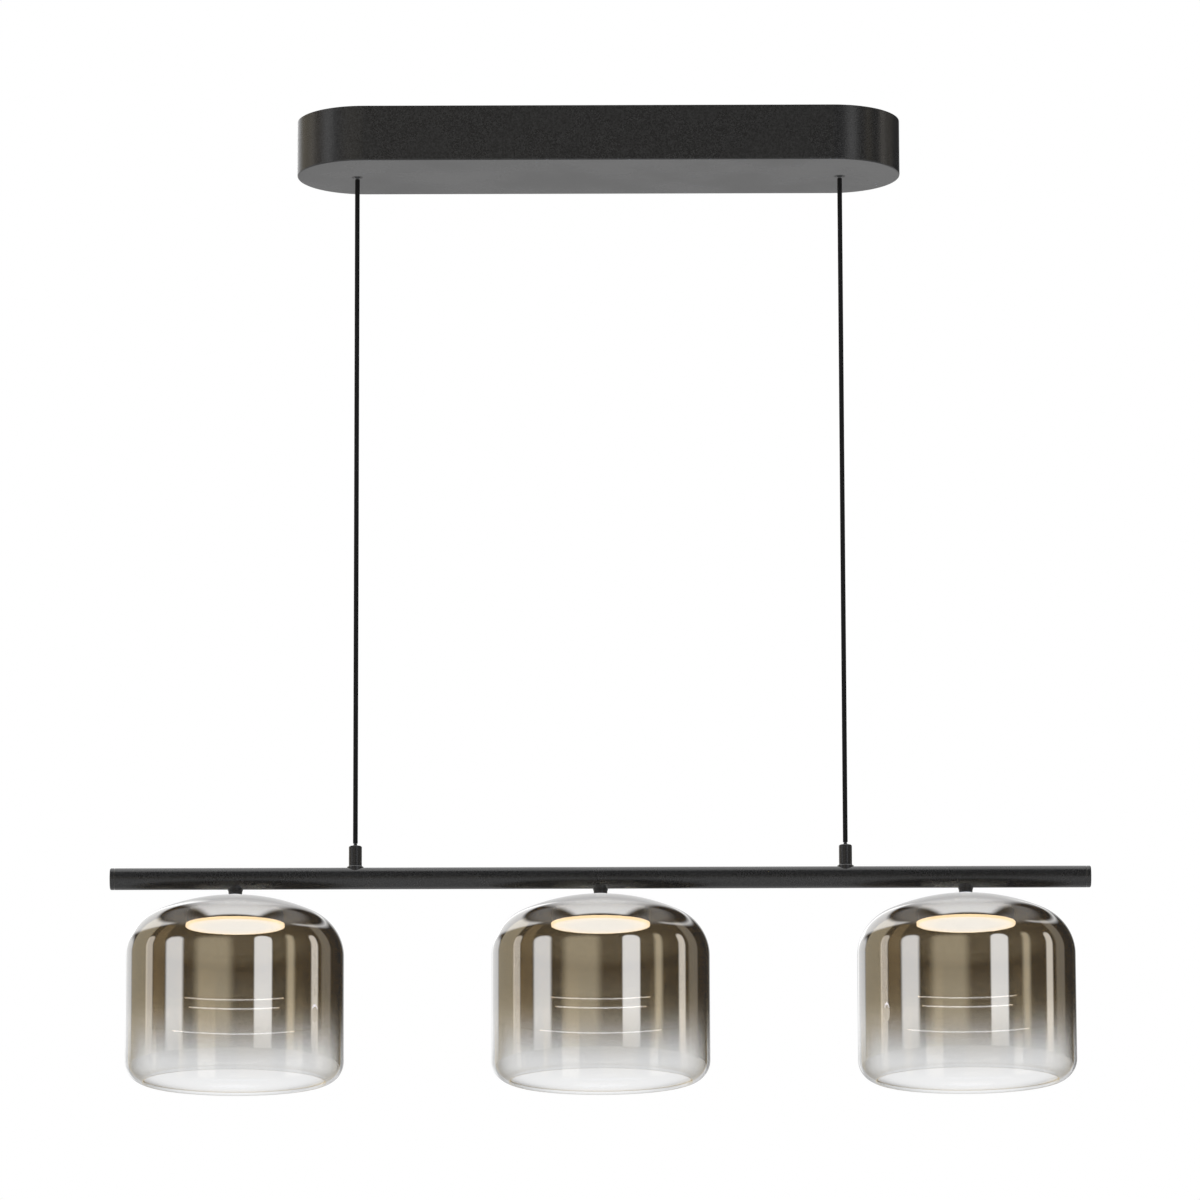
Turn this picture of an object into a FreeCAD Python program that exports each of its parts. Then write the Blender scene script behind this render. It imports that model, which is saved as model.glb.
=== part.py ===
import FreeCAD, Part
import math
import os
from FreeCAD import Vector

# Linear island pendant. The origin is the middle of the canopy's ceiling face.
# X runs along the bar, Y from the front of the light to its back, Z up. Millimetres.

# ---- Driving dimensions -------------------------------------------------------------

# Canopy cover and the strap that holds it to the ceiling
canopy_length = 562.0
canopy_depth = 126.0
canopy_height = 52.0
canopy_wall = 1.5
canopy_edge_radius = 1.2
strap_width = 36.0
strap_thickness = 2.5
ear_width = 16.0
ear_height = 24.0
ear_screw_drop = 13.0
bend_radius = 1.5
anchor_spacing = 200.0
anchor_slot_width = 5.5
anchor_slot_length = 24.0
supply_hole_radius = 12.0
supply_hole_from_terminals = 16.0
side_screw_radius = 2.0
side_screw_length = 9.0
side_screw_head_radius = 3.8
side_screw_head_depth = 1.8

# Driver, terminals and wires in the canopy
driver_length = 150.0
driver_width = 42.0
driver_height = 30.0
driver_wall = 2.0
driver_corner_radius = 3.0
driver_lid_thickness = 2.2
driver_tab_length = 9.0
driver_tab_thickness = 2.5
driver_screw_y = 13.5
small_screw_radius = 1.6
screw_head_flats = 5.5
screw_head_height = 2.2
driver_board_thickness = 1.6
transformer_length = 22.0
transformer_width = 17.6
transformer_headroom = 2.2
capacitor_radius = 7.0
capacitor_length = 26.0
capacitor_sink = 0.5
terminal_length = 30.0
terminal_width = 26.0
terminal_height = 16.0
terminal_way_size = 4.2
terminal_way_depth = 11.0
terminal_lever_length = 7.0
terminal_lever_height = 1.2
terminal_lever_inset = 2.0
terminal_poles = 3
terminal_from_gland = 12.0
earth_screw_from_hole = 11.0
earth_screw_radius = 2.0
earth_screw_flats = 7.0
canopy_lead_radius = 1.9
canopy_lead_sides = 8
canopy_lead_bend = 0.6     # share of a wire's rise that its bend takes

# Cables and the joints they hang on
cable_spacing = 450.0
cable_radius = 2.2
ball_radius = 3.8
ball_rise = 2.0
ball_steps = 10
gland_nose_radius = 5.2
gland_flange_radius = 10.0
gland_flange_thickness = 2.0
gland_barrel_radius = 7.5
gland_barrel_height = 10.0
gland_thread_radius = 5.6
gland_cap_height = 4.0
gland_cap_flats = 15.0
gland_cap_reach = 5.0
drop_to_bar = 664.0
grip_radius = 6.0
grip_height = 20.0
grip_edge = 0.7
grip_foot_radius = 7.6
grip_foot_flare = 1.6
grip_foot_edge = 0.6
grip_ear = 4.0
nub_radius = 2.4
nub_top_radius = 1.3
grip_stud_radius = 4.0
grip_bore_radius = 1.7
grip_crown = 3.0
grip_nut_width = 10.0
grip_nut_height = 3.0

# Bar
bar_length = 900.0
bar_radius = 10.0
bar_wall = 1.5
cap_lip = 7.5
cap_rim = 1.2
cap_groove_from_end = 4.1
cap_groove_width = 0.6
cap_groove_depth = 0.35
cap_plug_length = 12.0
cap_plug_wall = 2.0
bar_lead_radius = 1.4
feed_lead_radius = 1.2
drop_lead_radius = 1.3

# Lamps
lamp_spacing = 335.0
nipple_radius = 4.95
nipple_bore_radius = 3.2
nipple_nut_width = 12.0
nipple_nut_height = 3.2
collar_radius = 7.15
collar_foot_radius = 6.2
collar_ear = 3.1
collar_drop = 5.0
collar_waist_radius = 6.3
glass_washer_radius = 6.8
glass_washer_thickness = 1.8
shade_radius = 100.0
shade_height = 172.0
shade_crown_radius = 180.0
shade_shoulder_radius = 44.0
shade_corner_radius = 20.0
shade_lip_angle = 78.0
crown_steps = 3            # flats along each arc of the turned glass outline
shoulder_steps = 5
corner_steps = 4
glass_thickness = 3.0
inner_washer_radius = 10.0
inner_washer_thickness = 1.5
disc_depth = 27.6
diffuser_radius = 45.3
diffuser_thickness = 2.2
diffuser_spigot_height = 3.0
diffuser_spigot_wall = 1.6
sink_skirt_radius = 44.3
sink_skirt_wall = 2.0
sink_skirt_height = 8.0
sink_plate_thickness = 3.0
sink_hub_radius = 11.0
sink_hub_floor = 2.0
fin_count = 18
fin_thickness = 1.6
fin_glass_gap = 3.0
fin_inset = 1.2
lock_nut_flats = 14.0
lock_nut_height = 3.0
board_radius = 37.0
board_hole_radius = 4.0
board_thickness = 1.6
chip_count = 8
chip_ring_radius = 28.0
chip_size = 3.5
chip_height = 0.8

# Clearances
hole_gap = 0.15        # between a screw or tube and the hole it passes through
curve_gap = 0.05       # between a curved seat and the tube it sits on
ball_gap = 0.3         # between a ball and its socket, or a cable's end and its ball
lead_gap = 0.3         # between a wire and what it lies on
cover_gap = 0.4        # between the strap's ears and the cover
glass_seat_gap = 0.25  # between the middle of the dome and the washer under it

# Details of every piece
thread_stand_out = 0.5 # how far a threaded tube stands out of its nut
merge = 1.0            # how far two solids of one piece reach into each other
bevel_bulge = 0.3      # where a bevel's middle point lies, as a share of its width

# ---- Levels and places that follow from them ----------------------------------------

X, Z = Vector(1, 0, 0), Vector(0, 0, 1)
floor_out = -canopy_height
floor_in = floor_out + canopy_wall
strap_under = -strap_thickness
end_radius = canopy_depth / 2
end_centre_x = canopy_length / 2 - end_radius
inner_end_radius = end_radius - canopy_wall

cable_xs = {"left": -cable_spacing / 2, "right": cable_spacing / 2}
lamp_xs = {"left": -lamp_spacing, "middle": 0.0, "right": lamp_spacing}

ball_z = floor_out + ball_rise
cable_top = ball_z - ball_radius - ball_gap
bar_z = floor_out - drop_to_bar
bar_inner_radius = bar_radius - bar_wall
grip_top = bar_z + bar_radius + grip_height
cable_bottom = grip_top + nub_radius + ball_gap

collar_foot = bar_z - bar_radius - collar_drop
glass_top = collar_foot - glass_washer_thickness
crown_centre_z = glass_top - shade_crown_radius


def crown_drop(radius, r):
    """How far a crown arc of this radius has fallen at r from the axis."""
    return radius - math.sqrt(radius ** 2 - r ** 2)


inner_crown_radius = shade_crown_radius - glass_thickness
washer_top = glass_top - glass_thickness - glass_seat_gap
washer_top -= crown_drop(inner_crown_radius, inner_washer_radius)
washer_foot = washer_top - inner_washer_thickness
hub_top = washer_foot - lock_nut_height
disc_z = glass_top - disc_depth
skirt_foot = disc_z + diffuser_thickness
plate_foot = skirt_foot + sink_skirt_height
plate_top = plate_foot + sink_plate_thickness
skirt_inner_radius = sink_skirt_radius - sink_skirt_wall

nipple_nut_foot = bar_z - math.sqrt(bar_inner_radius ** 2 - (nipple_nut_width / 2) ** 2)
nipple_nut_top = nipple_nut_foot + nipple_nut_height
nipple_top = nipple_nut_top + thread_stand_out
nipple_foot = plate_foot + sink_hub_floor + thread_stand_out
bar_lead_z = nipple_top + lead_gap + bar_lead_radius
grip_nut_top = bar_z + math.sqrt(bar_inner_radius ** 2 - (grip_nut_width / 2) ** 2)
grip_nut_foot = grip_nut_top - grip_nut_height
canopy_lead_z = strap_under - driver_tab_thickness - screw_head_height - canopy_lead_radius
driver_left = -driver_length / 2
driver_right = driver_length / 2
driver_foot = strap_under - driver_height
terminal_left = cable_xs["left"] + gland_flange_radius + terminal_from_gland
terminal_right = terminal_left + terminal_length
supply_hole_x = terminal_right + supply_hole_from_terminals + supply_hole_radius
earth_screw_x = supply_hole_x + supply_hole_radius + earth_screw_from_hole


# ---- Small shapes -------------------------------------------------------------------

def cylinder(radius, z_low, z_high, x=0.0, y=0.0):
    return Part.makeCylinder(radius, z_high - z_low, Vector(x, y, z_low), Z)


def tube(outer, inner, z_low, z_high, x=0.0, y=0.0):
    return cylinder(outer, z_low, z_high, x, y).cut(cylinder(inner, z_low, z_high, x, y))


def block(x_low, x_high, y_low, y_high, z_low, z_high):
    size = (x_high - x_low, y_high - y_low, z_high - z_low)
    return Part.makeBox(*size, Vector(x_low, y_low, z_low))


def rod_along_x(radius, x_low, x_high, z, y=0.0):
    return Part.makeCylinder(radius, x_high - x_low, Vector(x_low, y, z), X)


def line(a, b):
    return Part.LineSegment(a, b).toShape()


def arc(a, middle, b):
    return Part.Arc(a, middle, b).toShape()


def turned(outline, x=0.0):
    """A solid of revolution about the vertical axis at x, from (radius, z) points."""
    points = [Vector(r, 0, z) for r, z in outline]
    face = Part.Face(Part.makePolygon(points + points[:1]))
    solid = face.revolve(Vector(0, 0, 0), Z, 360)
    solid.translate(Vector(x, 0, 0))
    return solid


def polar(centre_r, centre_z, radius, degrees):
    """The (radius, z) point at this angle above the horizontal on a circle."""
    angle = math.radians(degrees)
    return centre_r + radius * math.cos(angle), centre_z + radius * math.sin(angle)


def stepped_arc(centre_r, centre_z, radius, start, end, steps):
    """Points at even angles along an arc of a turned outline, both ends included."""
    angles = [start + (end - start) * i / steps for i in range(steps + 1)]
    return [polar(centre_r, centre_z, radius, angle) for angle in angles]


def hexagon(flats, bore, z_low, z_high, x=0.0, y=0.0):
    corner = flats / math.sqrt(3)
    points = []
    for i in range(7):
        angle = math.radians(60 * i)
        points.append(Vector(x + corner * math.cos(angle), y + corner * math.sin(angle), z_low))
    prism = Part.Face(Part.makePolygon(points)).extrude(Vector(0, 0, z_high - z_low))
    return prism.cut(cylinder(bore, z_low, z_high, x, y)) if bore else prism


def square_nut(width, bore, z_low, z_high, x):
    half = width / 2
    nut = block(x - half, x + half, -half, half, z_low, z_high)
    return nut.cut(cylinder(bore, z_low, z_high, x))


def obround(half_length, radius, z_low, z_high, x=0.0):
    """An upright prism with straight sides along X and round ends."""
    centre = half_length - radius
    corners = [Vector(x - centre, -radius, z_low), Vector(x + centre, -radius, z_low),
               Vector(x + centre, radius, z_low), Vector(x - centre, radius, z_low)]
    right_tip = Vector(x + half_length, 0, z_low)
    left_tip = Vector(x - half_length, 0, z_low)
    edges = [line(corners[0], corners[1]), arc(corners[1], right_tip, corners[2]),
             line(corners[2], corners[3]), arc(corners[3], left_tip, corners[0])]
    return Part.Face(Part.Wire(edges)).extrude(Vector(0, 0, z_high - z_low))


def hanging_screw(x, y, head_z, flats, head_height, radius):
    """A hexagon-head screw driven upwards into the strap; its head hangs below head_z."""
    head = hexagon(flats, 0, head_z - head_height, head_z, x, y)
    return head.fuse(cylinder(radius, head_z, 0, x, y))


def group(shapes):
    return Part.makeCompound(shapes)


# ---- Canopy -------------------------------------------------------------------------

def make_canopy_cover():
    """The visible cover: obround, open at the ceiling, with a hole for each gland."""
    outer = obround(canopy_length / 2, end_radius, floor_out, 0)
    foot_edges = [e for e in outer.Edges if e.BoundBox.ZMax < floor_out + 0.01]
    outer = outer.makeFillet(canopy_edge_radius, foot_edges)
    cover = outer.cut(obround(canopy_length / 2 - canopy_wall, inner_end_radius, floor_in, 0))
    for x in cable_xs.values():
        cover = cover.cut(cylinder(gland_nose_radius + hole_gap, floor_out, floor_in, x))
    for side in (-1, 1):
        screw = side_screw(side, hole_gap)
        cover = cover.cut(screw)
    return cover


def side_screw(side, extra):
    """A countersunk screw through the end of the cover; side is -1 left, 1 right."""
    tip = Vector(side * canopy_length / 2, 0, -ear_screw_drop)
    inward = Vector(-side, 0, 0)
    head = Part.makeCone(side_screw_head_radius + extra, side_screw_radius + extra,
                         side_screw_head_depth, tip, inward)
    shank = Part.makeCylinder(side_screw_radius + extra, side_screw_length, tip, inward)
    return head.fuse(shank)


def make_canopy_side_screws():
    """The screws' heads are trimmed flush with the round end of the cover."""
    end = obround(canopy_length / 2, end_radius, floor_out, 0)
    return group([side_screw(side, 0).common(end) for side in (-1, 1)])


def make_ceiling_bracket():
    """A steel strap on the ceiling, with slots for anchors and an ear bent down each end."""
    ear_outer_x = end_centre_x - cover_gap
    ear_outer_x += math.sqrt(inner_end_radius ** 2 - (ear_width / 2) ** 2)
    low = -ear_height
    inner_x = ear_outer_x - strap_thickness
    outer_bend = bend_radius + strap_thickness
    centre_x = ear_outer_x - outer_bend
    k = math.sqrt(0.5)
    edges = []
    for side in (-1, 1):
        def at(x, z):
            return Vector(side * x, -strap_width / 2, z)
        edges += [
            arc(at(centre_x, 0), at(centre_x + outer_bend * k, -outer_bend * (1 - k)),
                at(ear_outer_x, -outer_bend)),
            line(at(ear_outer_x, -outer_bend), at(ear_outer_x, low)),
            line(at(ear_outer_x, low), at(inner_x, low)),
            line(at(inner_x, low), at(inner_x, -outer_bend)),
            arc(at(inner_x, -outer_bend),
                at(centre_x + bend_radius * k, -outer_bend + bend_radius * k),
                at(centre_x, strap_under)),
        ]
    start, end = -strap_width / 2, strap_width / 2
    edges.append(line(Vector(-centre_x, start, 0), Vector(centre_x, start, 0)))
    edges.append(line(Vector(-centre_x, start, strap_under), Vector(centre_x, start, strap_under)))
    wire = Part.Wire(Part.__sortEdges__(edges))
    strap = Part.Face(wire).extrude(Vector(0, strap_width, 0))

    shoulder = ear_outer_x - strap_width
    outline = [(-ear_outer_x, -ear_width / 2), (-shoulder, start), (shoulder, start),
               (ear_outer_x, -ear_width / 2), (ear_outer_x, ear_width / 2), (shoulder, end),
               (-shoulder, end), (-ear_outer_x, ear_width / 2)]
    points = [Vector(x, y, low) for x, y in outline]
    plan = Part.Face(Part.makePolygon(points + points[:1])).extrude(Vector(0, 0, ear_height))
    strap = strap.common(plan)

    for side in (-1, 1):
        slot = obround(anchor_slot_length / 2, anchor_slot_width / 2, strap_under, 0,
                       side * anchor_spacing / 2)
        strap = strap.cut(slot)
        tapped = Part.makeCylinder(side_screw_radius + hole_gap, strap_thickness + 2 * merge,
                                   Vector(side * (ear_outer_x + merge), 0, -ear_screw_drop),
                                   Vector(-side, 0, 0))
        strap = strap.cut(tapped)
    for x, y in driver_screw_places():
        strap = strap.cut(cylinder(small_screw_radius + hole_gap, strap_under, 0, x, y))
    strap = strap.cut(cylinder(supply_hole_radius, strap_under, 0, supply_hole_x))
    strap = strap.cut(cylinder(earth_screw_radius + hole_gap, strap_under, 0, earth_screw_x))
    return strap


# ---- Driver and terminals -----------------------------------------------------------

def driver_screw_places():
    """One screw in each tab, on opposite corners."""
    x = (driver_length + driver_tab_length) / 2
    return [(-x, driver_screw_y), (x, -driver_screw_y)]


def make_driver_housing():
    """A tray that opens downwards, hung from the strap by a tab at each end."""
    half_width = driver_width / 2
    lid_top = driver_foot + driver_lid_thickness
    body = block(driver_left, driver_right, -half_width, half_width, lid_top, strap_under)
    upright = [e for e in body.Edges if abs(e.Length - (strap_under - lid_top)) < 0.01]
    body = body.makeFillet(driver_corner_radius, upright)
    hollow = block(driver_left + driver_wall, driver_right - driver_wall,
                   -half_width + driver_wall, half_width - driver_wall,
                   lid_top, strap_under - driver_wall)
    body = body.cut(hollow)
    tab_low = strap_under - driver_tab_thickness
    for side in (-1, 1):
        x = sorted((side * (driver_right - merge), side * (driver_right + driver_tab_length)))
        tab = block(*x, -strap_width / 2, strap_width / 2, tab_low, strap_under)
        body = body.fuse(tab.cut(hollow))
    for x, y in driver_screw_places():
        body = body.cut(cylinder(small_screw_radius + hole_gap, tab_low, strap_under, x, y))
    return body.removeSplitter()


def make_driver_lid():
    """The plate that closes the tray, with a rim that locates inside its walls."""
    half_width = driver_width / 2
    lid_top = driver_foot + driver_lid_thickness
    plate = block(driver_left, driver_right, -half_width, half_width, driver_foot, lid_top)
    inset = driver_wall + hole_gap
    rim = block(driver_left + inset, driver_right - inset, -half_width + inset,
                half_width - inset, lid_top, lid_top + driver_wall)
    inset += driver_wall
    rim = rim.cut(block(driver_left + inset, driver_right - inset, -half_width + inset,
                        half_width - inset, lid_top, lid_top + driver_wall))
    return plate.fuse(rim)


def make_driver_board():
    """The circuit board on the lid's rim, with its transformer and two capacitors."""
    inset = driver_wall + hole_gap * 2
    half_width = driver_width / 2 - inset
    low = driver_foot + driver_lid_thickness + driver_wall
    top = low + driver_board_thickness
    board = block(driver_left + inset, driver_right - inset, -half_width, half_width, low, top)
    x, y = transformer_length / 2, transformer_width / 2
    roof = strap_under - driver_wall - transformer_headroom
    board = board.fuse(block(-x, x, -y, y, top, roof))
    for side in (-1, 1):
        x = side * (transformer_length / 2 + capacitor_length) - capacitor_length / 2
        can = rod_along_x(capacitor_radius, x, x + capacitor_length,
                          top + capacitor_radius - capacitor_sink)
        below = block(x, x + capacitor_length, -capacitor_radius, capacitor_radius,
                      low - capacitor_radius, top)
        board = board.fuse(can.cut(below))
    return board.removeSplitter()


def make_driver_screws():
    head_z = strap_under - driver_tab_thickness
    return group([hanging_screw(x, y, head_z, screw_head_flats, screw_head_height,
                                small_screw_radius) for x, y in driver_screw_places()])


def make_terminal_block():
    """A push-in block under the strap: square wire ways in both ends, a lever over each."""
    low = strap_under - terminal_height
    half_width = terminal_width / 2
    body = block(terminal_left, terminal_right, -half_width, half_width, low, strap_under)
    pitch = terminal_width / terminal_poles
    half = terminal_way_size / 2
    for i in range(terminal_poles):
        y = (i - (terminal_poles - 1) / 2) * pitch
        for end, inward in ((terminal_left, 1), (terminal_right, -1)):
            x = sorted((end, end + inward * terminal_way_depth))
            body = body.cut(block(*x, y - half, y + half, canopy_lead_z - half,
                                  canopy_lead_z + half))
            near = end + inward * terminal_lever_inset
            x = sorted((near, near + inward * terminal_lever_length))
            body = body.fuse(block(*x, y - half, y + half, low - terminal_lever_height, low))
    return body


def make_earth_screw():
    return hanging_screw(earth_screw_x, 0, strap_under, earth_screw_flats, screw_head_height,
                         earth_screw_radius)


def bent_lead(x_gland, x_end):
    """A wire that rises from a gland and turns along X to x_end under the strap."""
    toward = 1 if x_end > x_gland else -1
    low = ball_z + ball_radius + 2 * ball_gap
    rise = canopy_lead_z - low
    bend = min(rise, abs(x_end - x_gland)) * canopy_lead_bend
    corner_low = Vector(x_gland, 0, canopy_lead_z - bend)
    corner_far = Vector(x_gland + toward * bend, 0, canopy_lead_z)
    k = 1 - math.sqrt(0.5)
    middle = Vector(x_gland + toward * bend * k, 0, canopy_lead_z - bend * k)
    route = Part.Wire([line(Vector(x_gland, 0, low), corner_low),
                       arc(corner_low, middle, corner_far),
                       line(corner_far, Vector(x_end, 0, canopy_lead_z))])
    rim = []
    for i in range(canopy_lead_sides):
        across, y = polar(0, 0, canopy_lead_radius, 360 * i / canopy_lead_sides)
        rim.append(Vector(x_gland + across, y, low))
    print("canopy lead bend radius", round(bend, 1), "mm")
    return route.makePipeShell([Part.makePolygon(rim + rim[:1])], True, False)


def make_left_canopy_lead():
    return bent_lead(cable_xs["left"], terminal_left)


def make_right_canopy_lead():
    return bent_lead(cable_xs["right"], driver_right)


def make_driver_lead():
    return rod_along_x(canopy_lead_radius, terminal_right, driver_left, canopy_lead_z)


# ---- Cable exits and cables ---------------------------------------------------------

def make_exit_gland(x):
    """A flanged socket in the cover's floor; its lip is narrower than the ball it holds."""
    barrel_top = floor_in + gland_barrel_height
    socket = ball_radius + ball_gap
    lip_angle = math.degrees(math.asin(ball_rise / socket))
    thread_foot = ball_z + socket
    outline = stepped_arc(0, ball_z, socket, -lip_angle, 0, 2) + [
        (socket, thread_foot), (gland_thread_radius, thread_foot),
        (gland_thread_radius, barrel_top), (gland_barrel_radius, barrel_top),
        (gland_barrel_radius, floor_in + gland_flange_thickness),
        (gland_flange_radius, floor_in + gland_flange_thickness),
        (gland_flange_radius, floor_in), (gland_nose_radius, floor_in),
        (gland_nose_radius, floor_out),
    ]
    return turned(outline, x)


def make_gland_cap(x):
    """The hexagon cap that screws into the gland above the ball and guides the wire."""
    barrel_top = floor_in + gland_barrel_height
    bore = canopy_lead_radius + lead_gap
    spigot_foot = max(barrel_top - gland_cap_reach, ball_z + ball_radius + 2 * ball_gap)
    head = hexagon(gland_cap_flats, bore, barrel_top, barrel_top + gland_cap_height, x)
    spigot = tube(gland_thread_radius - hole_gap, bore, spigot_foot, barrel_top, x)
    return head.fuse(spigot)


def make_swivel_bush(x):
    """The ball that the cable hangs from."""
    return turned(stepped_arc(0, ball_z, ball_radius, -90, 90, ball_steps), x)


def make_cable(x):
    return cylinder(cable_radius, cable_bottom, cable_top, x)


# ---- Bar ----------------------------------------------------------------------------

def make_bar_tube():
    half = bar_length / 2 - cap_lip
    body = rod_along_x(bar_radius, -half, half, bar_z)
    body = body.cut(rod_along_x(bar_inner_radius, -half, half, bar_z))
    for x in lamp_xs.values():
        body = body.cut(cylinder(nipple_radius + hole_gap, bar_z - 2 * bar_radius, bar_z, x))
    for x in cable_xs.values():
        body = body.cut(cylinder(grip_stud_radius + hole_gap, bar_z, bar_z + 2 * bar_radius, x))
    return body


def make_end_cap(side):
    """A turned plug: bevelled rim, fine groove, and a hollow spigot inside the tube."""
    half = bar_length / 2
    seam = half - cap_lip
    plug = bar_inner_radius - hole_gap
    groove_in = half - cap_groove_from_end - cap_groove_width / 2
    groove_out = groove_in + cap_groove_width
    groove_foot = bar_radius - cap_groove_depth
    outline = [
        (half, 0), (half, bar_radius - cap_rim),
        (half - cap_rim * bevel_bulge, bar_radius - cap_rim * bevel_bulge),
        (half - cap_rim, bar_radius),
        (groove_out, bar_radius), ((groove_in + groove_out) / 2, groove_foot),
        (groove_in, bar_radius), (seam, bar_radius), (seam, plug),
        (seam - cap_plug_length, plug), (seam - cap_plug_length, plug - cap_plug_wall),
        (seam, plug - cap_plug_wall), (seam, 0), (half, 0),
    ]
    points = [Vector(side * x, 0, bar_z + r) for x, r in outline]
    return Part.Face(Part.makePolygon(points)).revolve(Vector(0, 0, bar_z), X, 360)


def make_cable_grip(x):
    """A turned grip: bevelled top with a nub for the cable, flared foot, hollow stud."""
    foot = bar_z + bar_radius - grip_ear
    flare_low = bar_z + bar_radius + grip_foot_edge
    flare_top = flare_low + grip_foot_flare
    waist = grip_foot_flare * bevel_bulge
    body = turned([
        (0, foot), (grip_foot_radius, foot), (grip_foot_radius, flare_low),
        (grip_radius + waist, flare_low + waist),
        (grip_radius, flare_top), (grip_radius, grip_top - grip_edge),
        (grip_radius - grip_edge, grip_top), (nub_radius, grip_top),
        (nub_top_radius, grip_top + nub_radius), (0, grip_top + nub_radius),
    ], x)
    saddle = rod_along_x(bar_radius + curve_gap, x - 2 * grip_foot_radius,
                         x + 2 * grip_foot_radius, bar_z)
    body = body.cut(saddle)
    stud_foot = grip_nut_foot - thread_stand_out
    body = body.fuse(cylinder(grip_stud_radius, stud_foot, bar_z + bar_radius + merge, x))
    body = body.cut(cylinder(grip_bore_radius, stud_foot, grip_top - grip_crown, x))
    return body.removeSplitter()


def make_grip_nut(x):
    """A square nut whose upper edges bear on the inside of the tube."""
    bore = grip_stud_radius + hole_gap
    return square_nut(grip_nut_width, bore, grip_nut_foot, grip_nut_top - curve_gap, x)


def make_nipple_nuts():
    """Square nuts whose lower edges bear on the inside of the tube."""
    bore = nipple_radius + hole_gap
    low = nipple_nut_foot + curve_gap
    return group([square_nut(nipple_nut_width, bore, low, nipple_nut_top, x)
                  for x in lamp_xs.values()])


def make_bar_lead():
    reach = lamp_spacing + nipple_nut_width / 2
    return rod_along_x(bar_lead_radius, -reach, reach, bar_lead_z)


def make_feed_leads():
    """Wires from inside each cable grip down to the wire in the bar."""
    low = bar_lead_z + bar_lead_radius + hole_gap
    top = grip_top - grip_crown - lead_gap
    return group([cylinder(feed_lead_radius, low, top, x) for x in cable_xs.values()])


def make_drop_leads():
    """Wires from the bar down through each nipple and hub to the LED board."""
    low = plate_foot - board_thickness
    top = bar_lead_z - bar_lead_radius - hole_gap
    return group([cylinder(drop_lead_radius, low, top, x) for x in lamp_xs.values()])


# ---- Lamps --------------------------------------------------------------------------

def make_nipple(x):
    return tube(nipple_radius, nipple_bore_radius, nipple_foot, nipple_top, x)


def make_collar(x):
    """A waisted collar that tapers downwards; its top is a saddle round the bar."""
    top = bar_z - bar_radius + collar_ear
    shoulder_z = bar_z - bar_radius
    waist_z = (collar_foot + shoulder_z) / 2
    bore = nipple_radius + hole_gap
    body = turned([
        (bore, collar_foot), (collar_foot_radius, collar_foot), (collar_waist_radius, waist_z),
        (collar_radius, shoulder_z), (collar_radius, top), (bore, top),
    ], x)
    saddle = rod_along_x(bar_radius + curve_gap, x - 2 * collar_radius, x + 2 * collar_radius,
                         bar_z)
    return body.cut(saddle)


def make_glass_washer(x):
    return tube(glass_washer_radius, nipple_radius + hole_gap, glass_top, collar_foot, x)


def make_shade(x):
    """Blown glass: shallow crown, round shoulder, upright wall, rim curled inwards."""
    rise = shade_crown_radius - shade_shoulder_radius
    run = shade_radius - shade_shoulder_radius
    shoulder_z = crown_centre_z + math.sqrt(rise ** 2 - run ** 2)
    tangent = math.degrees(math.atan2(shoulder_z - crown_centre_z, run))
    corner_r = shade_radius - shade_corner_radius
    lip_drop = shade_corner_radius * math.sin(math.radians(shade_lip_angle))
    corner_z = glass_top - shade_height + lip_drop
    hole = nipple_radius + 2 * hole_gap

    def skin(offset):
        """The points down one face of the glass, offset inwards from the outside."""
        crown = shade_crown_radius - offset
        shoulder = shade_shoulder_radius - offset
        corner = shade_corner_radius - offset
        start = math.degrees(math.acos(hole / crown))
        return (stepped_arc(0, crown_centre_z, crown, start, tangent, crown_steps)
                + stepped_arc(run, shoulder_z, shoulder, tangent, 0, shoulder_steps)[1:]
                + stepped_arc(corner_r, corner_z, corner, 0, -shade_lip_angle, corner_steps))

    return turned(skin(0) + skin(glass_thickness)[::-1], x)


def make_inner_washer(x):
    return tube(inner_washer_radius, nipple_radius + hole_gap, washer_foot, washer_top, x)


def fin(x, angle):
    """One upright fin from the hub to the skirt; its sloping top clears the dome."""
    inner = sink_hub_radius - merge
    outer = sink_skirt_radius - fin_inset
    foot = plate_top - merge
    outer_top = glass_top - glass_thickness - fin_glass_gap
    outer_top -= crown_drop(inner_crown_radius - fin_glass_gap, outer)
    outline = [(inner, foot), (outer, foot), (outer, outer_top), (inner, hub_top)]
    points = [Vector(r, -fin_thickness / 2, z) for r, z in outline]
    plate = Part.Face(Part.makePolygon(points + points[:1])).extrude(Vector(0, fin_thickness, 0))
    plate.rotate(Vector(0, 0, 0), Z, angle)
    plate.translate(Vector(x, 0, 0))
    return plate


def make_heat_sink(x):
    """The LED housing: a shallow cup under a plate, with radial fins above it.

    Its hub screws onto the nipple and has a floor with a hole for the wire.
    """
    hub = cylinder(sink_hub_radius, plate_foot, hub_top, x)
    plate = cylinder(sink_skirt_radius, plate_foot, plate_top, x)
    skirt = tube(sink_skirt_radius, skirt_inner_radius, skirt_foot, plate_foot, x)
    fins = [fin(x, 360 * i / fin_count) for i in range(fin_count)]
    body = plate.multiFuse([hub, skirt] + fins)
    floor_top = plate_foot + sink_hub_floor
    body = body.cut(cylinder(nipple_radius + hole_gap, floor_top, hub_top, x))
    body = body.cut(cylinder(drop_lead_radius + lead_gap, plate_foot, floor_top, x))
    return body.removeSplitter()


def make_lock_nuts():
    """The nuts that clamp each glass, between its inner washer and the hub."""
    bore = nipple_radius + hole_gap
    return group([hexagon(lock_nut_flats, bore, hub_top, washer_foot, x)
                  for x in lamp_xs.values()])


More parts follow.
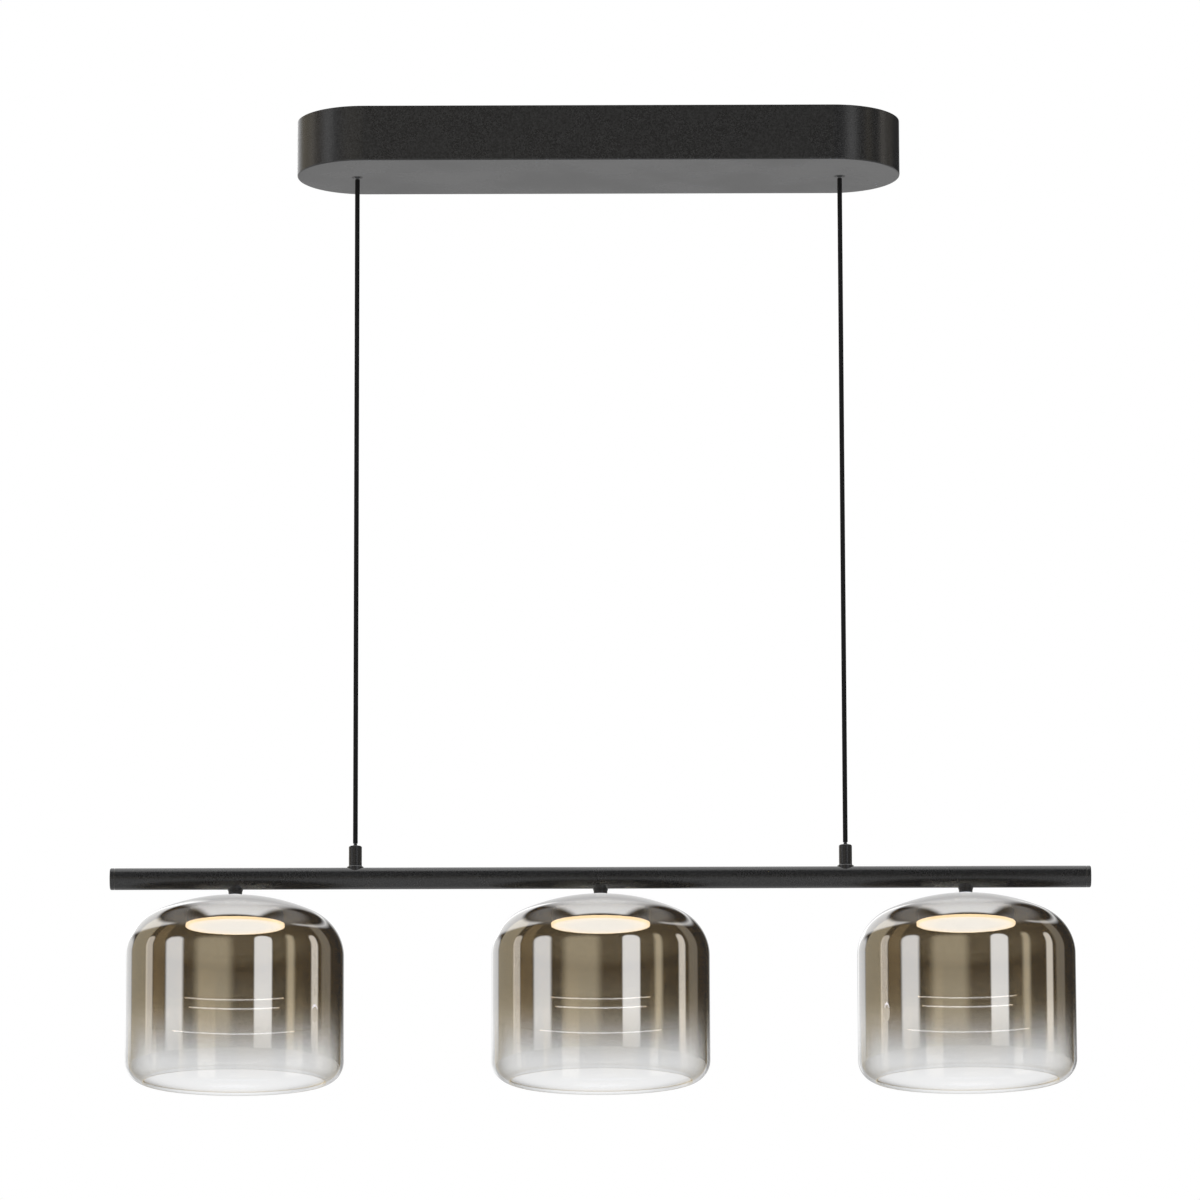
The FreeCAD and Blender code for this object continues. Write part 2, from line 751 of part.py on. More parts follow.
def make_led_board(x):
    """A round board under the plate, with a ring of LED chips on its lower face."""
    low = plate_foot - board_thickness
    board = tube(board_radius, board_hole_radius, low, plate_foot, x)
    half = chip_size / 2
    chips = []
    for i in range(chip_count):
        chip = block(chip_ring_radius - half, chip_ring_radius + half, -half, half,
                     low - chip_height, low)
        chip.rotate(Vector(0, 0, 0), Z, 360 * i / chip_count)
        chip.translate(Vector(x, 0, 0))
        chips.append(chip)
    return board.multiFuse(chips).removeSplitter()


def make_diffuser(x):
    """An opal disc, the lit face of the lamp, with a spigot that fits the housing."""
    disc = cylinder(diffuser_radius, disc_z, skirt_foot, x)
    outer = skirt_inner_radius - hole_gap
    spigot = tube(outer, outer - diffuser_spigot_wall, skirt_foot,
                  skirt_foot + diffuser_spigot_height, x)
    return disc.fuse(spigot)


# ---- Every piece --------------------------------------------------------------------

parts = {
    "canopy_cover": make_canopy_cover(),
    "canopy_side_screws": make_canopy_side_screws(),
    "ceiling_bracket": make_ceiling_bracket(),
    "driver_housing": make_driver_housing(),
    "driver_lid": make_driver_lid(),
    "driver_board": make_driver_board(),
    "driver_screws": make_driver_screws(),
    "driver_lead": make_driver_lead(),
    "terminal_block": make_terminal_block(),
    "earth_screw": make_earth_screw(),
    "left_canopy_lead": make_left_canopy_lead(),
    "right_canopy_lead": make_right_canopy_lead(),
    "bar_tube": make_bar_tube(),
    "left_end_cap": make_end_cap(-1),
    "right_end_cap": make_end_cap(1),
    "nipple_nuts": make_nipple_nuts(),
    "lock_nuts": make_lock_nuts(),
    "bar_lead": make_bar_lead(),
    "feed_leads": make_feed_leads(),
    "drop_leads": make_drop_leads(),
}
for side, x in cable_xs.items():
    parts[side + "_exit_gland"] = make_exit_gland(x)
    parts[side + "_gland_cap"] = make_gland_cap(x)
    parts[side + "_swivel_bush"] = make_swivel_bush(x)
    parts[side + "_cable"] = make_cable(x)
    parts[side + "_cable_grip"] = make_cable_grip(x)
    parts[side + "_grip_nut"] = make_grip_nut(x)
for side, x in lamp_xs.items():
    parts[side + "_nipple"] = make_nipple(x)
    parts[side + "_collar"] = make_collar(x)
    parts[side + "_glass_washer"] = make_glass_washer(x)
    parts[side + "_shade"] = make_shade(x)
    parts[side + "_inner_washer"] = make_inner_washer(x)
    parts[side + "_heat_sink"] = make_heat_sink(x)
    parts[side + "_led_board"] = make_led_board(x)
    parts[side + "_diffuser"] = make_diffuser(x)

cable_length = cable_top - cable_bottom
section = math.pi * cable_radius ** 2
for side in cable_xs:
    share = parts[side + "_cable"].Volume / (section * cable_length)
    print(side, "cable: straight,", round(cable_length, 1), "mm, volume over section x length",
          round(share, 4))

os.makedirs("parts", exist_ok=True)
for name, shape in parts.items():
    shape.exportStep("parts/" + name + ".step")
print(len(parts), "nodes; ball", ball_z, "bar", bar_z, "nub", grip_top, "disc", disc_z)
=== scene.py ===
import math

import bpy
from mathutils import Matrix, Vector


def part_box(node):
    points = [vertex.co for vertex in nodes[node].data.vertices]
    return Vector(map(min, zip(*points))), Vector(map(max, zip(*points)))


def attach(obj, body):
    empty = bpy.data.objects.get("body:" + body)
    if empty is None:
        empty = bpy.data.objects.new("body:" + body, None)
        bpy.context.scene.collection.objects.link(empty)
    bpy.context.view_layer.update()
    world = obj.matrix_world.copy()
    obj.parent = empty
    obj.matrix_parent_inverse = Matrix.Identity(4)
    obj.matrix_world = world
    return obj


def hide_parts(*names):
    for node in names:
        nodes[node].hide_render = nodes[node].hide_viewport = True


# Looks of a linear island pendant. Metres; the origin is the middle of the canopy's
# ceiling face, X runs along the bar, Y from front to back, Z up.

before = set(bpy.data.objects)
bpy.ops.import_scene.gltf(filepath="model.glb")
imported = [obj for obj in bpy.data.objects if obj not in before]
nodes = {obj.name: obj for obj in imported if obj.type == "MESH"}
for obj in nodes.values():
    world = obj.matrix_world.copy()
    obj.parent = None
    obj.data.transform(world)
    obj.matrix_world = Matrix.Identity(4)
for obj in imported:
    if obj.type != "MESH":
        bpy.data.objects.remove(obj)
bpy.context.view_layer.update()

MM = 0.001

# ---- Sizes that the parts' boxes don't give -----------------------------------------

CABLE_DIAMETER = 4.4 * MM
CABLE_TOP = -54.1 * MM
CABLE_BOTTOM = -683.3 * MM
CABLE_X = 225.0 * MM
STRAIGHT_END = 26.0 * MM        # a route point this far from each end of a cable

GLASS = 3.0 * MM
CROWN_RADIUS = 180.0 * MM
SHOULDER_RADIUS = 44.0 * MM
CORNER_RADIUS = 20.0 * MM
LIP_ANGLE = 78.0                # degrees that the rim curls inwards
HOLE_RADIUS = 5.25 * MM         # of the hole in the crown, for the nipple

SHADE_SIDES = 192               # steps of the lathed glass, round it and along its profile
CROWN_STEPS = 22
SHOULDER_STEPS = 26
WALL_STEPS = 10
FOOT_STEPS = 20
RIM_STEPS = 6
CABLE_BEVEL_STEPS = 6
CABLE_CURVE_ORDER = 3

LAMPS = ("left", "middle", "right")
SIDES = ("left", "right")

shade_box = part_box("middle_shade")
shade_top = shade_box[1].z
shade_foot = shade_box[0].z
shade_radius = shade_box[1].x


# ---- Camera -------------------------------------------------------------------------

CAMERA_TILT = 10.96             # degrees that the camera looks up
CAMERA_ROLL = -0.16             # degrees
CAMERA_DISTANCE = 7.3696
CAMERA_TARGET_Z = -0.56844
CAMERA_LENS = 240.0
CAMERA_SENSOR = 36.0
CAMERA_SHIFT = 0.1
CAMERA_REACH = 100.0


def new_object(name, data):
    """Makes an object of some data and puts it in the scene."""
    made = bpy.data.objects.new(name, data)
    bpy.context.scene.collection.objects.link(made)
    return made


def make_camera():
    """The camera stands in front of the light, low down, and looks a little up."""
    data = bpy.data.cameras.new("camera")
    data.lens = CAMERA_LENS
    data.sensor_width = CAMERA_SENSOR
    data.shift_y = CAMERA_SHIFT
    data.clip_end = CAMERA_REACH
    camera = new_object("camera", data)
    tilt = math.radians(CAMERA_TILT)
    target = Vector((0, 0, CAMERA_TARGET_Z))
    camera.location = target - CAMERA_DISTANCE * Vector((0, math.cos(tilt), math.sin(tilt)))
    look = Matrix.Rotation(math.pi / 2 + tilt, 4, "X")
    roll = Matrix.Rotation(math.radians(CAMERA_ROLL), 4, "Z")
    camera.rotation_euler = (look @ roll).to_euler()
    bpy.context.scene.camera = camera


# ---- Node trees ---------------------------------------------------------------------

def is_socket(value):
    return isinstance(value, bpy.types.NodeSocket)


def rgba(colour):
    """A grey number or a colour as four numbers."""
    if isinstance(colour, (int, float)):
        colour = (colour,) * 3
    return (*colour, 1.0)


class Tree:
    """A short way to write a node tree: each call adds a node and returns its output."""

    def __init__(self, owner):
        owner.use_nodes = True
        self.nodes = owner.node_tree.nodes
        self.links = owner.node_tree.links
        self.nodes.clear()

    def add(self, kind, **settings):
        node = self.nodes.new(kind)
        for name, value in settings.items():
            setattr(node, name, value)
        return node

    def feed(self, socket, value):
        if is_socket(value):
            self.links.new(value, socket)
        else:
            socket.default_value = value

    def fill(self, kind, values, **settings):
        """Adds a node and feeds its first sockets, in their order."""
        node = self.add(kind, **settings)
        for socket, value in zip(node.inputs, values):
            self.feed(socket, value)
        return node

    def math(self, operation, *values):
        return self.fill("ShaderNodeMath", values, operation=operation).outputs[0]

    def vector(self, operation, *values):
        return self.fill("ShaderNodeVectorMath", values, operation=operation).outputs[0]

    def scale(self, vector, factor):
        node = self.fill("ShaderNodeVectorMath", (vector,), operation="SCALE")
        self.feed(node.inputs["Scale"], factor)
        return node.outputs[0]

    def join(self, x, y, z):
        return self.fill("ShaderNodeCombineXYZ", (x, y, z)).outputs[0]

    def axes(self, vector):
        x, y, z = self.fill("ShaderNodeSeparateXYZ", (vector,)).outputs
        return x, y, z

    def linear(self, value, start, end, low, high, **settings):
        """A straight step from low to high while value goes from start to end."""
        node = self.add("ShaderNodeMapRange", **settings)
        for name, item in (("Value", value), ("From Min", start), ("From Max", end),
                           ("To Min", low), ("To Max", high)):
            self.feed(node.inputs[name], item)
        return node.outputs["Result"]

    def rise(self, value, start, end, low=0.0, high=1.0):
        """A smooth step from low to high while value goes from start to end."""
        return self.linear(value, start, end, low, high, interpolation_type="SMOOTHSTEP")

    def ramp(self, value, stops):
        """Colours along a value; stops are (place from 0 to 1, colour or grey)."""
        node = self.add("ShaderNodeValToRGB")
        elements = node.color_ramp.elements
        while len(elements) < len(stops):
            elements.new(0.5)
        for element, (place, colour) in zip(elements, stops):
            element.position = place
            element.color = rgba(colour)
        self.feed(node.inputs["Fac"], value)
        return node.outputs["Color"]

    def blend(self, share, first, second):
        node = self.add("ShaderNodeMix", data_type="RGBA")
        self.feed(node.inputs["Factor"], share)
        self.feed(node.inputs[6], first if is_socket(first) else rgba(first))
        self.feed(node.inputs[7], second if is_socket(second) else rgba(second))
        return node.outputs[2]

    def place(self):
        """The point in the part's own frame, whole and as x, y and z."""
        coordinate = self.add("ShaderNodeTexCoord").outputs["Object"]
        return coordinate, self.axes(coordinate)

    def stretch(self, vector, scale):
        node = self.add("ShaderNodeMapping")
        self.feed(node.inputs["Vector"], vector)
        node.inputs["Scale"].default_value = scale
        return node.outputs[0]

    def noise(self, vector, scale, detail=2.0, roughness=0.5):
        node = self.add("ShaderNodeTexNoise")
        self.feed(node.inputs["Vector"], vector)
        node.inputs["Scale"].default_value = scale
        node.inputs["Detail"].default_value = detail
        node.inputs["Roughness"].default_value = roughness
        return node.outputs["Fac"]

    def bump(self, height, depth, strength):
        """Dents a surface: height goes from 0 to 1, depth says how deep that is in metres."""
        node = self.add("ShaderNodeBump")
        node.inputs["Strength"].default_value = strength
        node.inputs["Distance"].default_value = depth
        self.feed(node.inputs["Height"], height)
        return node.outputs[0]

    def surface(self, **values):
        """A Principled shader; a value's name is its socket's, with _ for each space."""
        node = self.add("ShaderNodeBsdfPrincipled")
        for name, value in values.items():
            self.feed(node.inputs[name.replace("_", " ")], value)
        return node.outputs[0]

    def see_through(self, tint=rgba(1.0)):
        return self.fill("ShaderNodeBsdfTransparent", (tint,)).outputs[0]

    def mix(self, share, first, second):
        return self.fill("ShaderNodeMixShader", (share, first, second)).outputs[0]

    def output(self, shader, kind="ShaderNodeOutputMaterial"):
        self.feed(self.add(kind).inputs["Surface"], shader)


def material(build):
    """Makes the material that a function describes, under that function's name."""
    made = bpy.data.materials.new(build.__name__)
    build(Tree(made))
    return made


# ---- Materials ----------------------------------------------------------------------

GRAIN = (0.3, 0.7)              # nearly all of a noise lies between these


def skin(t, grain, rough, depth, strength, **values):
    """A surface that grows rougher with its grain, which also dents it."""
    t.output(t.surface(Roughness=t.rise(grain, *GRAIN, *rough),
                       Normal=t.bump(grain, depth, strength), **values))


def satin_black_paint(t):
    """Fine-textured black powder coat, a little worn and dusty in patches."""
    black, dusty = (0.013, 0.013, 0.0135), (0.035, 0.035, 0.0355)
    point, _ = t.place()
    grain = t.noise(point, 850, detail=4, roughness=0.6)
    patches = t.rise(t.noise(point, 14), *GRAIN, 0.22, 0.28)
    colour = t.blend(t.rise(grain, 0.35, 0.68), black, dusty)
    rough = t.math("ADD", patches, t.math("MULTIPLY", grain, 0.06))
    t.output(t.surface(Base_Color=colour, Roughness=rough, Specular_IOR_Level=0.5,
                       Normal=t.bump(grain, 0.1 * MM, 0.5)))


RING_RATE = 14000.0             # radians of a turned piece's rings in each metre of height


def turned_black_metal(t):
    """Black anodised metal with the fine rings that turning leaves."""
    black, worn = (0.016, 0.016, 0.017), (0.044, 0.044, 0.046)
    point, (_, _, z) = t.place()
    rings = t.math("SINE", t.math("MULTIPLY", z, RING_RATE))
    grain = t.noise(t.stretch(point, (1, 1, 14)), 420, detail=3)
    t.output(t.surface(Base_Color=t.blend(grain, black, worn), Metallic=0.35,
                       Roughness=t.rise(grain, *GRAIN, 0.24, 0.36),
                       Normal=t.bump(rings, 0.01 * MM, 0.4)))


BRAID_STRANDS = 6.0             # in each direction
BRAID_PITCH = 2.2 * MM          # from one strand to the next, along the cable


def cable_braid(t):
    """Black textile braid: two sets of strands that cross round the cable."""
    gap, thread, lint = (0.002, 0.002, 0.002), (0.011, 0.011, 0.0115), (0.03, 0.03, 0.031)
    point, (x, y, z) = t.place()
    across = t.math("SUBTRACT", t.math("ABSOLUTE", x), CABLE_X)
    turn = t.math("MULTIPLY", t.math("ARCTAN2", y, across), BRAID_STRANDS)
    climb = t.math("MULTIPLY", z, 2 * math.pi / BRAID_PITCH)
    left = t.math("SINE", t.math("ADD", turn, climb))
    right = t.math("SINE", t.math("SUBTRACT", turn, climb))
    strands = t.math("MULTIPLY_ADD", t.math("MAXIMUM", left, right), 0.5, 0.5)
    fibre = t.noise(t.stretch(point, (1, 1, 0.3)), 5200)
    colour = t.blend(t.rise(fibre, 0.62, 0.8), t.blend(strands, gap, thread), lint)
    t.output(t.surface(Base_Color=colour, Roughness=0.75, Specular_IOR_Level=0.2,
                       Normal=t.bump(strands, 0.18 * MM, 0.9)))


# The smoked coat fades from its full depth to nothing between these heights, and its
# mirror a little lower down.
SMOKE_TOP, SMOKE_FOOT = -0.815, -0.874
MIRROR_TOP, MIRROR_FOOT = -0.850, -0.895
COAT_TINT = (0.30, 0.242, 0.150)    # what the coat lets through at its full depth
COAT_MIRROR = 0.30                  # what it adds to the mirror of bare glass
BARE_TINT = (0.925, 0.928, 0.93)
BARE_MIRROR = 0.03
INNER_TINT = (0.97, 0.97, 0.97)
EDGE_TINT = 0.45                    # how much of a tint is left where the wall is edge on
EDGE_TINT_POWER = 4.0               # how late that sets in,
EDGE_MIRROR_POWER = 5.0             # and how late the wall turns into a full mirror
FACING_BLEND = 0.5                  # leaves the measure of the angle as it is
GLASS_ROUGHNESS = 0.02
# A reflection that has come farther than this leaves the glass out. The first is more than
# the way to a shade's own far wall, and the second holds for the outside of the next shade.
OWN_WALL = 0.23
NEXT_WALL = 0.15
# Fine ripples run round the inside of the glass: how high each is, how far it leans
# upwards, so that it catches the light of the lamp, how far it is flattened across, which
# makes that light longer, and how much of it is mirrored.
RIPPLES = ((-0.8130, 0.215, 0.09, 0.46), (-0.8215, 0.25, 0.06, 0.40),
           (-0.8450, 0.33, 0.30, 0.20))
RIPPLE_HALF_WIDTH = 0.75 * MM
RIPPLE_CORE = 0.6                   # the part of that which is at full strength
RIPPLE_COLOUR = (1.0, 0.88, 0.66)
RIPPLE_FADE = (-0.02, 0.03)         # they run out towards the side that faces the room
LIP_SHINE = (-0.902, -0.884)        # the inside's own mirror fades out between these heights


def glass_wall(t, tint, mirror, from_outside, normal=None, shine_colour=1.0):
    """A face of thin glass: tinted and see-through, and mirrored more towards its edge.

    It looks the same from both sides and bends nothing. In reflections a shade shows in its
    own glass only, so rays that meet another shade go straight through it.
    """
    edge = t.fill("ShaderNodeLayerWeight", (FACING_BLEND,)).outputs["Facing"]
    gain = t.math("POWER", edge, EDGE_MIRROR_POWER)
    share = t.math("ADD", mirror, t.math("MULTIPLY", gain, t.math("SUBTRACT", 1.0, mirror)))
    left = t.math("MULTIPLY_ADD", t.math("POWER", edge, EDGE_TINT_POWER), EDGE_TINT - 1.0, 1.0)
    shine = t.add("ShaderNodeBsdfAnisotropic")
    shine.inputs["Color"].default_value = rgba(shine_colour)
    shine.inputs["Roughness"].default_value = GLASS_ROUGHNESS
    if normal is not None:
        t.feed(shine.inputs["Normal"], normal)
    wall = t.mix(share, t.see_through(t.scale(tint, left)), shine.outputs[0])
    path = t.add("ShaderNodeLightPath").outputs
    far = t.math("GREATER_THAN", path["Ray Length"], OWN_WALL)
    beside = t.math("MULTIPLY", from_outside,
                    t.math("GREATER_THAN", path["Ray Length"], NEXT_WALL))
    image = t.math("MULTIPLY", path["Is Glossy Ray"], t.math("MAXIMUM", far, beside))
    t.output(t.mix(image, wall, t.see_through()))


def smoked_glass(t):
    """The outside of the glass, with a smoked mirror coat that fades out downwards."""
    _, (_, _, z) = t.place()
    tint = t.blend(t.rise(z, SMOKE_FOOT, SMOKE_TOP), BARE_TINT, COAT_TINT)
    mirror = t.math("MULTIPLY_ADD", t.rise(z, MIRROR_FOOT, MIRROR_TOP), COAT_MIRROR,
                    BARE_MIRROR)
    behind = t.add("ShaderNodeNewGeometry").outputs["Backfacing"]
    glass_wall(t, tint, mirror, t.math("SUBTRACT", 1.0, behind))


def bare_glass(t):
    """The bare inner face of the glass, with its ripples."""
    _, (_, y, z) = t.place()
    ripple = slope = across = 0.0
    for height, how_far, flat, share in RIPPLES:
        off = t.math("ABSOLUTE", t.math("SUBTRACT", z, height))
        one = t.rise(off, RIPPLE_HALF_WIDTH * RIPPLE_CORE, RIPPLE_HALF_WIDTH, 1.0, 0.0)
        ripple = t.math("MULTIPLY_ADD", one, share, ripple)
        slope = t.math("MULTIPLY_ADD", one, how_far, slope)
        across = t.math("MULTIPLY_ADD", one, flat, across)
    ripple = t.math("MULTIPLY", ripple, t.rise(y, *RIPPLE_FADE))
    press = t.join(t.math("SUBTRACT", 1.0, across), 1.0, 1.0)
    face = t.add("ShaderNodeNewGeometry").outputs
    bent = t.vector("MULTIPLY_ADD", face["Normal"], press, t.join(0.0, 0.0, slope))
    mirror = t.math("ADD", ripple, t.rise(z, *LIP_SHINE, 0.0, BARE_MIRROR))
    glass_wall(t, INNER_TINT, mirror, face["Backfacing"], t.vector("NORMALIZE", bent),
               RIPPLE_COLOUR)


LAMP_PITCH = 0.335
DISC_RADIUS = 45.3 * MM
LIT_STRENGTH = 7.7
GLOW = ((0.0, (0.55, 0.655, 0.99)), (0.6, (0.565, 0.665, 0.99)),    # from the disc's middle
        (0.9, (0.64, 0.71, 0.97)), (1.0, (0.70, 0.63, 0.60)))       # to its edge
# In reflections a lit face shows dimmer, and in its own glass only, where it fades out
# between the two distances of IMAGE_REACH. Beyond those it is left out, and from FAR_LAMP
# on a lamp glows with a painted reflection: a colour that stands in for the room behind it.
IMAGE_LEVEL = 0.4
IMAGE_REACH = (0.130, 0.165)
FAR_LAMP = 0.45
# painted reflection: the glow of a far lamp in mirrors, in the colour of the room behind it
FAR_PAINTED_REFLECTION = (0.105, 0.095, 0.080)


def lit_opal(t):
    """Opal plastic lit from behind, with a warmer edge."""
    point, (x, y, _) = t.place()
    from_middle = t.math("ABSOLUTE", x)
    from_side = t.math("ABSOLUTE", t.math("SUBTRACT", from_middle, LAMP_PITCH))
    from_lamp = t.math("MINIMUM", from_middle, from_side)
    radius = t.math("SQRT", t.math("ADD", t.math("POWER", from_lamp, 2.0),
                                   t.math("POWER", y, 2.0)))
    glow = t.ramp(t.math("DIVIDE", radius, DISC_RADIUS), GLOW)
    path = t.add("ShaderNodeLightPath").outputs
    near = t.linear(path["Ray Length"], *IMAGE_REACH, 1.0, 0.0)
    # past the near reach the lamp's image turns into a painted reflection of the room
    image = t.blend(near, FAR_PAINTED_REFLECTION, t.scale(glow, IMAGE_LEVEL))
    up = t.axes(t.add("ShaderNodeNewGeometry").outputs["Normal"])[2]
    image = t.blend(t.math("GREATER_THAN", up, 0.0), image, 0.0)
    mottle = t.noise(point, 260)
    opal = t.surface(Base_Color=rgba((0.86, 0.84, 0.80)),
                     Roughness=t.rise(mottle, 0.0, 1.0, 0.4, 0.5),
                     Emission_Color=t.blend(path["Is Glossy Ray"], glow, image),
                     Emission_Strength=LIT_STRENGTH)
    beside = t.math("MULTIPLY", t.math("GREATER_THAN", path["Ray Length"], IMAGE_REACH[1]),
                    t.math("LESS_THAN", path["Ray Length"], FAR_LAMP))
    t.output(t.mix(t.math("MULTIPLY", path["Is Glossy Ray"], beside), opal,
                   t.see_through()))


def cast_aluminium(t):
    """Die-cast aluminium with a fine satin skin."""
    point, _ = t.place()
    cloud = t.blend(t.noise(point, 60), (0.62, 0.63, 0.64), (0.74, 0.75, 0.76))
    skin(t, t.noise(point, 900, detail=4), (0.34, 0.46), 0.06 * MM, 0.5,
         Base_Color=cloud, Metallic=1.0)


def zinc_steel(t):
    """Zinc-plated steel, with the faint blotches of the plating."""
    point, _ = t.place()
    cells = t.fill("ShaderNodeTexVoronoi", (point,), feature="F1")
    cells.inputs["Scale"].default_value = 150
    blotch = t.axes(cells.outputs["Color"])[0]
    skin(t, t.noise(t.stretch(point, (0.2, 1, 1)), 1200, detail=3), (0.26, 0.40),
         0.03 * MM, 0.4, Metallic=1.0,
         Base_Color=t.blend(blotch, (0.50, 0.51, 0.52), (0.66, 0.67, 0.69)))


def clear_silicone(t):
    """Frosted silicone washers."""
    point, _ = t.place()
    skin(t, t.noise(point, 1400, detail=3), (0.35, 0.5), 0.05 * MM, 0.4,
         Base_Color=rgba((0.82, 0.83, 0.83)), Transmission_Weight=0.55, IOR=1.41)


def black_nylon(t):
    """Moulded black nylon."""
    point, _ = t.place()
    grain = t.noise(point, 2200)
    skin(t, grain, (0.44, 0.56), 0.04 * MM, 0.5,
         Base_Color=t.blend(grain, (0.012, 0.012, 0.012), (0.024, 0.024, 0.025)))


def white_plastic(t):
    """Moulded white housing plastic with a spark-eroded texture."""
    point, _ = t.place()
    cloud = t.blend(t.noise(point, 20), (0.76, 0.76, 0.74), (0.82, 0.82, 0.80))
    skin(t, t.noise(point, 1800), (0.42, 0.55), 0.06 * MM, 0.5, Base_Color=cloud)


def circuit_board(t):
    """White solder mask over copper, with faint tracks."""
    point, _ = t.place()
    tracks = t.rise(t.noise(t.stretch(point, (1, 0.25, 1)), 330), 0.52, 0.56)
    colour = t.blend(tracks, (0.70, 0.71, 0.68), (0.60, 0.62, 0.57))
    t.output(t.surface(Base_Color=colour, Roughness=0.35,
                       Normal=t.bump(tracks, 0.03 * MM, 0.6)))


def wire_jacket(t):
    """Soft black wire insulation with a faint extruded grain."""
    point, _ = t.place()
    grain = t.noise(t.stretch(point, (0.1, 1, 1)), 900)
    skin(t, grain, (0.4, 0.5), 0.04 * MM, 0.4,
         Base_Color=t.blend(grain, (0.016, 0.016, 0.017), (0.03, 0.03, 0.031)))


def pale_floor(t):
    """A plain pale floor that takes the object's shadow, and is clear from below."""
    path = t.add("ShaderNodeLightPath").outputs
    lift = t.math("ADD", t.math("MULTIPLY", path["Is Camera Ray"], FLOOR_LIFT),
                  t.math("MULTIPLY", path["Is Glossy Ray"], FLOOR_IMAGE_LIFT))
    point, _ = t.place()
    top = t.surface(Base_Color=t.blend(t.noise(point, 2.0), 0.86, 0.88), Roughness=0.9,
                    Emission_Color=rgba(1.0), Emission_Strength=lift)
    below = t.add("ShaderNodeNewGeometry").outputs["Backfacing"]
    t.output(t.mix(below, top, t.see_through()))


# ---- Studio -------------------------------------------------------------------------

FLOOR_Z = -2.45
FLOOR_SIZE = 60.0
FLOOR_LIFT = 0.42               # how much the camera's view of the floor is lifted to white
FLOOR_IMAGE_LIFT = 0.16         # and its image in mirrors
ROOM_LIGHT = 0.60               # what matt surfaces receive from all round
DIM = 0.04                      # what mirror surfaces see where the room is dark
BELOW = 0.9                     # what they see of the floor far off,
BELOW_FROM = (-2.0, -12.0)      # which sets in between these degrees from the horizon

# What mirror surfaces see of the room, as rounded patches in degrees. The first two numbers
# say where a patch begins and ends round the object, 0 on the camera's side and positive to
# the right, the next two how low and how high it reaches, and then come how round its
# corners are, how soft its edge is, and its brightness.
LOW = -70.0                     # far enough down for patches that reach the floor
BROWN = (0.54, 0.465, 0.325)
PATCHES = (
    (23.0, 42.0, LOW, 19.0, 8.0, 2.5, (1.75,) * 3),             # main soft box
    (-75.0, -54.0, LOW, 20.0, 8.0, 4.5, (1.55,) * 3),           # left soft box
    (-105.5, -94.5, LOW, 23.0, 4.5, 3.0, (1.1, 1.0, 0.86)),     # narrow soft boxes
    (91.0, 101.0, LOW, 25.0, 4.5, 3.0, (1.4, 1.3, 1.15)),
    (59.5, 68.0, LOW, 24.0, 4.0, 6.0, (0.80, 0.69, 0.49)),      # reflector
    (-170.0, -138.0, LOW, 18.0, 6.0, 6.0, (1.15,) * 3),         # bright wall behind
    (-137.0, -104.0, LOW, 42.0, 8.0, 5.0, BROWN),               # dim walls
    (-93.0, -77.0, LOW, 42.0, 3.0, 4.0, (0.2, 0.14, 0.07)),
    (107.0, 124.0, LOW, 42.0, 8.0, 5.0, (0.28, 0.25, 0.20)),
    (-150.0, -60.0, 46.0, 62.0, 6.0, 12.0, (0.26,) * 3),        # dim ceiling, either side
    (60.0, 150.0, 46.0, 62.0, 6.0, 12.0, (0.26,) * 3),
    (-39.0, -1.5, LOW, 16.0, 8.0, 12.0, BROWN),                 # card beside the camera
)
ARC_LEFT = (12.0, 1.0)          # a bright band on each side, which rises towards the front:
ARC_RIGHT = (1.2, 1.2)          # its half height in degrees behind and at its end
ARC_BEHIND, ARC_END = 170.0, 88.0
ARC_HEIGHTS = (24.0, 45.5)
ARC_LEVEL = 1.3
ARC_SOFT = (4.0, 8.0, 2.5)      # its soft edge, in degrees behind, at its end and along it
BACKDROP_FROM = (160.0, 172.0)  # where the pale backdrop behind begins, either side
BACKDROP_TOP = (45.0, 70.0)     # how high it reaches
BACKDROP_LEVEL = 0.62
PANEL_HALF_WIDTH = (0.40, 0.26)  # overhead panel, as shares of its height: its soft edge
PANEL_FRONT = (-0.30, -0.16)    # where it begins, in front of the object
PANEL_BACK = (-0.2, 1.6)        # and from where to where it grows dim
PANEL_LEVEL = (1.9, 0.2)
LEAST_HEIGHT = 0.001            # keeps the panel's shares finite at the horizon


def patch(t, around, up, start, end, low, high, round_, soft):
    """1 inside a rounded patch of the room and 0 outside it."""
    squares = []
    for value, first, last in ((around, start, end), (up, low, high)):
        off = t.math("ABSOLUTE", t.math("SUBTRACT", value, (first + last) / 2))
        over = t.math("MAXIMUM", t.math("SUBTRACT", off, (last - first) / 2 - round_), 0.0)
        squares.append(t.math("MULTIPLY", over, over))
    distance = t.math("SQRT", t.math("ADD", *squares))
    return t.rise(distance, round_ - soft / 2, round_ + soft / 2, 1.0, 0.0)


def arc_band(t, around, up):
    """1 inside the bright bands at both sides and 0 outside them."""
    away = t.math("ABSOLUTE", around)
    middle = t.linear(away, ARC_BEHIND, ARC_END, *ARC_HEIGHTS)
    off = t.math("ABSOLUTE", t.math("SUBTRACT", up, middle))
    left = t.linear(away, ARC_BEHIND, ARC_END, *ARC_LEFT)
    right = t.linear(away, ARC_BEHIND, ARC_END, *ARC_RIGHT)
    is_left = t.math("LESS_THAN", around, 0.0)
    half = t.math("ADD", t.math("MULTIPLY", is_left, t.math("SUBTRACT", left, right)), right)
    over = t.math("SUBTRACT", off, half)
    soft_back, soft_end, soft_side = ARC_SOFT
    ends = t.math("MULTIPLY", t.rise(away, ARC_END - soft_end, ARC_END + soft_end),
                  t.rise(away, ARC_BEHIND, ARC_BEHIND + soft_back, 1.0, 0.0))
    return t.math("MULTIPLY", t.rise(over, -soft_side, soft_side, 1.0, 0.0), ends)


